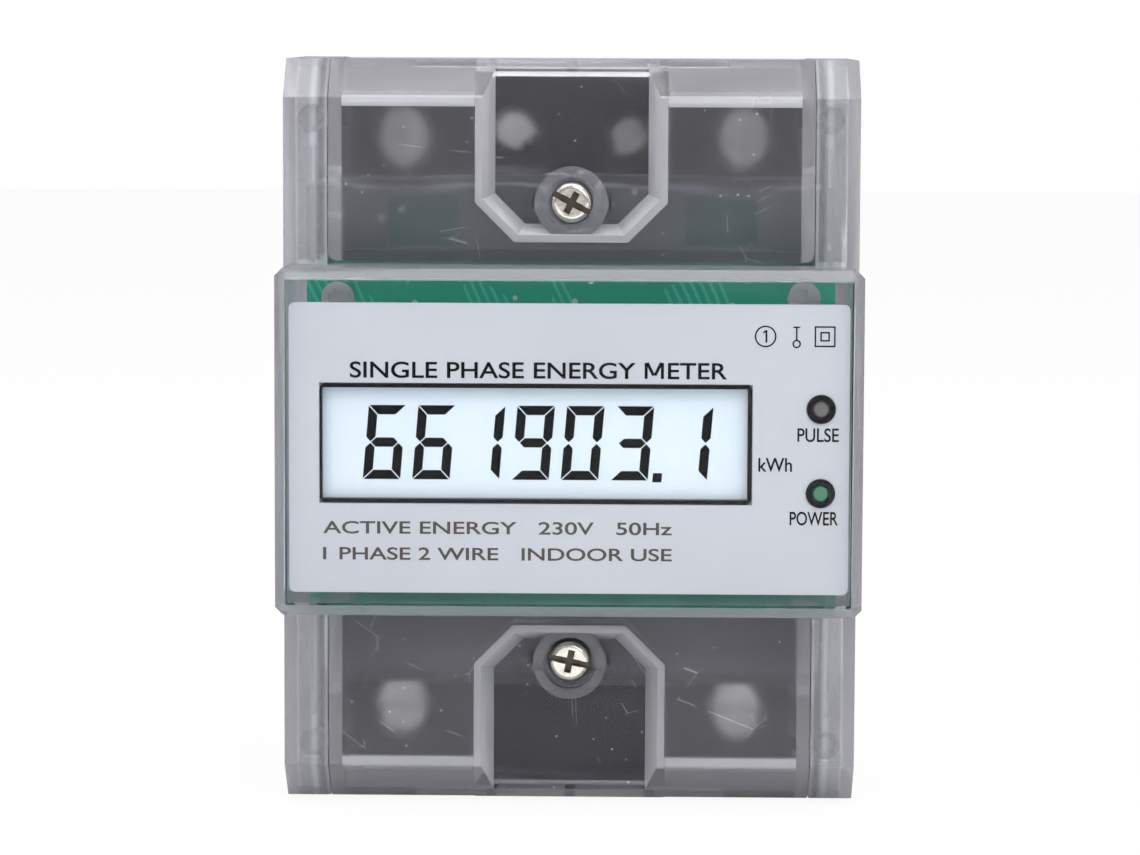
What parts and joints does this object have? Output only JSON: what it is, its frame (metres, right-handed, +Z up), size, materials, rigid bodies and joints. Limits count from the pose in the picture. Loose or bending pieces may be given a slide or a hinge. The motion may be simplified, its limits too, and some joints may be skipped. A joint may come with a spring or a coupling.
{
  "type": "smart electric meter",
  "caption": "Rail-mounted single-phase energy meter with a clear case, lift-off terminal covers, sealing screws, digital display and screw terminals.",
  "frame": {"origin": "middle of the rail seat: half way across the case, on the rail's centreline, in the plane where the case rests on the rail", "axes": "+X to the right seen from the front, +Z up, -Y out of the front towards the reader"},
  "size_m": [0.076, 0.065, 0.1],
  "materials": {
    "case_clear": "clear polycarbonate",
    "base_clear": "frosted clear polycarbonate",
    "cover_clear": "frosted clear polycarbonate",
    "terminal_black": "black flame-retardant moulding",
    "brass": "machined",
    "nameplate_white": "printed sheet",
    "frame_white": "white moulding",
    "bezel_black": "black moulding",
    "lcd_glass": "liquid crystal display",
    "backlight": "diffusing panel",
    "tinned_steel": "zinc plated",
    "pulse_lens": "tinted lens",
    "power_lens": "tinted lens",
    "board_green": "solder mask",
    "capacitor_box": "moulded box",
    "capacitor_can": "sleeved can",
    "varistor_blue": "epoxy coat",
    "chip_black": "epoxy package",
    "copper_bar": "copper strip",
    "manganin": "resistance alloy strip",
    "lead_red": "insulated wire",
    "clip_grey": "acetal moulding",
    "nickel_screw": "nickel plated"
  },
  "bodies": {
    "case": {"front_case": "case_clear", "rear_base": "base_clear", "upper_terminal_block": "terminal_black", "lower_terminal_block": "terminal_black", "seal_inserts": "brass", "nameplate": "nameplate_white", "display_frame": "frame_white", "lcd_bezel": "bezel_black", "lcd_glass": "lcd_glass", "lcd_pins": "tinned_steel", "backlight_panel": "backlight", "led_holders": "bezel_black", "pulse_led": "pulse_lens", "power_led": "power_lens", "main_board": "board_green", "board_screws": "tinned_steel", "case_screws": "tinned_steel", "film_capacitor": "capacitor_box", "electrolytic_capacitor": "capacitor_can", "varistor": "varistor_blue", "optocoupler": "chip_black", "metering_chip": "chip_black", "controller_chip": "chip_black", "crystal": "tinned_steel", "resistors": "chip_black", "phase_bar_in": "copper_bar", "phase_bar_out": "copper_bar", "shunt_element": "manganin", "neutral_bar": "copper_bar", "sense_leads": "lead_red", "neutral_lead": "lead_red", "pulse_leads": "lead_red", "rail_clip_spring": "tinned_steel", "upper_left_clamp": "brass", "upper_right_clamp": "brass", "lower_left_clamp": "brass", "lower_right_clamp": "brass", "pulse_left_clamp": "brass", "pulse_right_clamp": "brass"},
    "rail_clip": {"rail_clip": "clip_grey"},
    "upper_cover": {"upper_terminal_cover": "cover_clear"},
    "upper_seal_ring": {"upper_retaining_ring": "nickel_screw"},
    "upper_seal_screw": {"upper_seal_screw": "nickel_screw"},
    "lower_cover": {"lower_terminal_cover": "cover_clear"},
    "lower_seal_ring": {"lower_retaining_ring": "nickel_screw"},
    "lower_seal_screw": {"lower_seal_screw": "nickel_screw"},
    "upper_left_pad": {"upper_left_clamp_pad": "nickel_screw"},
    "upper_left_screw": {"upper_left_clamp_screw": "nickel_screw"},
    "upper_right_pad": {"upper_right_clamp_pad": "nickel_screw"},
    "upper_right_screw": {"upper_right_clamp_screw": "nickel_screw"},
    "lower_left_pad": {"lower_left_clamp_pad": "nickel_screw"},
    "lower_left_screw": {"lower_left_clamp_screw": "nickel_screw"},
    "lower_right_pad": {"lower_right_clamp_pad": "nickel_screw"},
    "lower_right_screw": {"lower_right_clamp_screw": "nickel_screw"},
    "pulse_left_pad": {"pulse_left_clamp_pad": "nickel_screw"},
    "pulse_left_screw": {"pulse_left_clamp_screw": "nickel_screw"},
    "pulse_right_pad": {"pulse_right_clamp_pad": "nickel_screw"},
    "pulse_right_screw": {"pulse_right_clamp_screw": "nickel_screw"}
  },
  "joints": [
    {"name": "upper_cover_lift", "type": "slide", "parent": "case", "child": "upper_cover", "axis": [0, -1, 0], "range_m": [0, 0.03]},
    {"name": "upper_seal_rise", "type": "slide", "parent": "upper_cover", "child": "upper_seal_ring", "axis": [0, -1, 0], "range_m": [0, 0.004]},
    {"name": "upper_seal_turn", "type": "hinge", "parent": "upper_seal_ring", "child": "upper_seal_screw", "pos_m": [0, -0.0425, 0.0306], "axis": [0, -1, 0], "range_deg": [0, 2880]},
    {"name": "lower_cover_lift", "type": "slide", "parent": "case", "child": "lower_cover", "axis": [0, -1, 0], "range_m": [0, 0.03]},
    {"name": "lower_seal_rise", "type": "slide", "parent": "lower_cover", "child": "lower_seal_ring", "axis": [0, -1, 0], "range_m": [0, 0.004]},
    {"name": "lower_seal_turn", "type": "hinge", "parent": "lower_seal_ring", "child": "lower_seal_screw", "pos_m": [0, -0.0425, -0.0306], "axis": [0, -1, 0], "range_deg": [0, 2880]},
    {"name": "upper_left_feed", "type": "slide", "parent": "case", "child": "upper_left_pad", "axis": [0, 1, 0], "range_m": [0, 0.005]},
    {"name": "upper_left_turn", "type": "hinge", "parent": "upper_left_pad", "child": "upper_left_screw", "pos_m": [-0.0225, -0.028, 0.0395], "axis": [0, 1, 0], "range_deg": [0, 1800]},
    {"name": "upper_right_feed", "type": "slide", "parent": "case", "child": "upper_right_pad", "axis": [0, 1, 0], "range_m": [0, 0.005]},
    {"name": "upper_right_turn", "type": "hinge", "parent": "upper_right_pad", "child": "upper_right_screw", "pos_m": [0.0225, -0.028, 0.0395], "axis": [0, 1, 0], "range_deg": [0, 1800]},
    {"name": "lower_left_feed", "type": "slide", "parent": "case", "child": "lower_left_pad", "axis": [0, 1, 0], "range_m": [0, 0.005]},
    {"name": "lower_left_turn", "type": "hinge", "parent": "lower_left_pad", "child": "lower_left_screw", "pos_m": [-0.0225, -0.028, -0.0395], "axis": [0, 1, 0], "range_deg": [0, 1800]},
    {"name": "lower_right_feed", "type": "slide", "parent": "case", "child": "lower_right_pad", "axis": [0, 1, 0], "range_m": [0, 0.005]},
    {"name": "lower_right_turn", "type": "hinge", "parent": "lower_right_pad", "child": "lower_right_screw", "pos_m": [0.0225, -0.028, -0.0395], "axis": [0, 1, 0], "range_deg": [0, 1800]},
    {"name": "pulse_left_feed", "type": "slide", "parent": "case", "child": "pulse_left_pad", "axis": [0, 1, 0], "range_m": [0, 0.0025]},
    {"name": "pulse_left_turn", "type": "hinge", "parent": "pulse_left_pad", "child": "pulse_left_screw", "pos_m": [-0.0075, -0.028, 0.0395], "axis": [0, 1, 0], "range_deg": [0, 1800]},
    {"name": "pulse_right_feed", "type": "slide", "parent": "case", "child": "pulse_right_pad", "axis": [0, 1, 0], "range_m": [0, 0.0025]},
    {"name": "pulse_right_turn", "type": "hinge", "parent": "pulse_right_pad", "child": "pulse_right_screw", "pos_m": [0.0075, -0.028, 0.0395], "axis": [0, 1, 0], "range_deg": [0, 1800]},
    {"name": "rail_clip_slide", "type": "slide", "parent": "case", "child": "rail_clip", "axis": [0, 0, -1], "range_m": [0, 0.0045], "stiffness_N_per_m": 1500, "springref_m": -0.004, "deforming": ["rail_clip_spring"]}
  ],
  "couplings": [
    {"joint": "upper_seal_turn", "follows": "upper_seal_rise", "rad_per_m": 12566},
    {"joint": "lower_seal_turn", "follows": "lower_seal_rise", "rad_per_m": 12566},
    {"joint": "upper_left_turn", "follows": "upper_left_feed", "rad_per_m": 6283.1},
    {"joint": "upper_right_turn", "follows": "upper_right_feed", "rad_per_m": 6283.1},
    {"joint": "lower_left_turn", "follows": "lower_left_feed", "rad_per_m": 6283.1},
    {"joint": "lower_right_turn", "follows": "lower_right_feed", "rad_per_m": 6283.1},
    {"joint": "pulse_left_turn", "follows": "pulse_left_feed", "rad_per_m": 12566},
    {"joint": "pulse_right_turn", "follows": "pulse_right_feed", "rad_per_m": 12566}
  ]
}
